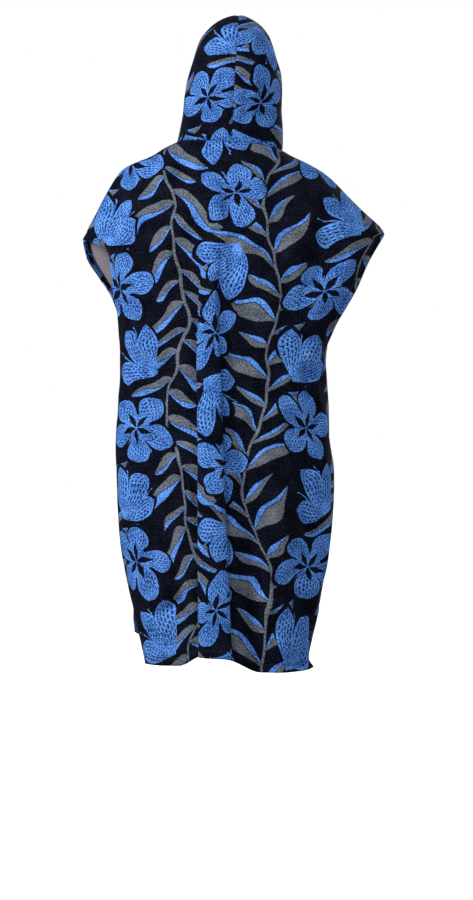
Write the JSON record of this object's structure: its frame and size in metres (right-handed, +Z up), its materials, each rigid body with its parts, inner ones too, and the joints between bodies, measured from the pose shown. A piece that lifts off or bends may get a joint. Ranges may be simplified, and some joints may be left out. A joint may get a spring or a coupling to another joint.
{
  "type": "hooded bath poncho",
  "caption": "Knee-length terry cloth poncho as it hangs when worn, with the hood up, cut-on short sleeves, an open hem and side vents, printed with flowers and leaves.",
  "frame": {"origin": "middle of the wearer's neck at shoulder level, in the plane of the shoulder seams", "axes": "+Z up, -Y out of the front, +X towards the wearer's left"},
  "size_m": [0.6059, 0.2984, 1.3034],
  "materials": {
    "printed_terry": "matt sheared pile printed with blue and grey flowers and leaves on black outside, pale grey loops inside"
  },
  "bodies": {
    "root": {"back_panel": "printed_terry", "front_panel": "printed_terry", "hood_left": "printed_terry", "hood_right": "printed_terry"}
  },
  "joints": []
}
